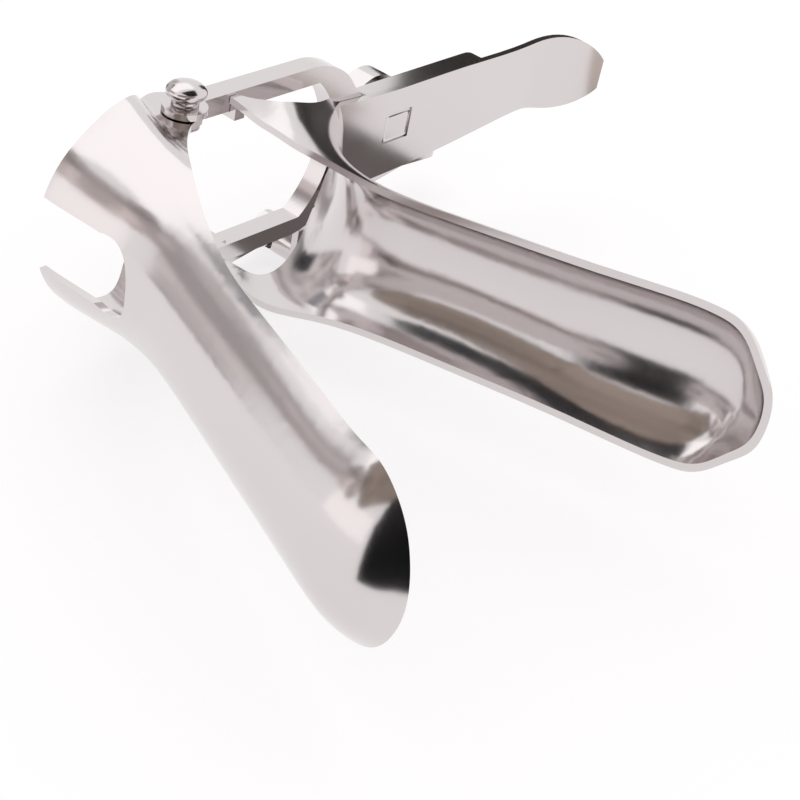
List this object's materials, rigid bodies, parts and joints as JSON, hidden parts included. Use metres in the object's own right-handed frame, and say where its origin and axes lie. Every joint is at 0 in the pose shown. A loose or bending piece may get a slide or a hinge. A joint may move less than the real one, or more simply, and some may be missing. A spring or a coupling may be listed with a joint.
{
  "type": "bivalve speculum",
  "caption": "Bivalve speculum with a hinged upper blade, a lower blade with handle, a sliding forked frame and screw stops.",
  "frame": {"origin": "on the hinge line of the upper blade, midway between the two arms", "axes": "+Z along the hinge line towards the ball head, +X down the handle, -Y towards the blade tips"},
  "size_m": [0.185, 0.1299, 0.0544],
  "materials": {
    "upper_blade": "polished stainless steel",
    "lower_blade": "polished stainless steel",
    "frame": "polished stainless steel",
    "near_pivot_screw": "polished stainless steel",
    "far_pivot_stud": "polished stainless steel",
    "near_guide_lug": "polished stainless steel",
    "far_guide_lug": "polished stainless steel",
    "height_bolt": "polished stainless steel",
    "height_washer": "polished stainless steel",
    "height_nut": "polished stainless steel",
    "thumb_lever": "polished stainless steel",
    "crank_pin": "polished stainless steel",
    "side_rod": "polished stainless steel",
    "rod_stop": "polished stainless steel",
    "rod_bracket": "polished stainless steel",
    "swivel_post": "polished stainless steel",
    "side_nut": "polished stainless steel"
  },
  "bodies": {
    "handle_body": {"lower_blade": "lower_blade", "near_guide_lug": "near_guide_lug", "far_guide_lug": "far_guide_lug", "height_bolt": "height_bolt", "height_washer": "height_washer"},
    "frame_body": {"frame": "frame", "rod_bracket": "rod_bracket", "swivel_post": "swivel_post"},
    "upper_body": {"upper_blade": "upper_blade", "near_pivot_screw": "near_pivot_screw", "far_pivot_stud": "far_pivot_stud", "thumb_lever": "thumb_lever", "crank_pin": "crank_pin"},
    "rod_body": {"side_rod": "side_rod", "rod_stop": "rod_stop"},
    "side_nut_body": {"side_nut": "side_nut"},
    "height_nut_body": {"height_nut": "height_nut"}
  },
  "joints": [
    {"name": "frame_slide", "type": "slide", "parent": "handle_body", "child": "frame_body", "axis": [1, 0, 0], "range_m": [-0.015, 0.005]},
    {"name": "blade_pivot", "type": "hinge", "parent": "frame_body", "child": "upper_body", "pos_m": [0, 0, 0], "axis": [0, 0, 1], "range_deg": [0, 41.2]},
    {"name": "rod_pivot", "type": "hinge", "parent": "upper_body", "child": "rod_body", "pos_m": [0.0041, 0.01128, -0.026], "axis": [0, 0, 1], "range_deg": [-45, 5]},
    {"name": "side_nut_turn", "type": "hinge", "parent": "frame_body", "child": "side_nut_body", "pos_m": [0.042, 0.009, -0.026], "axis": [0.9982, -0.0601, 0], "continuous": true},
    {"name": "height_nut_turn", "type": "hinge", "parent": "handle_body", "child": "height_nut_body", "pos_m": [0.0624, 0.006, 0], "axis": [0, 1, 0], "continuous": true}
  ],
  "couplings": [
    {"joint": "rod_pivot", "follows": "blade_pivot", "ratio": -0.987}
  ]
}
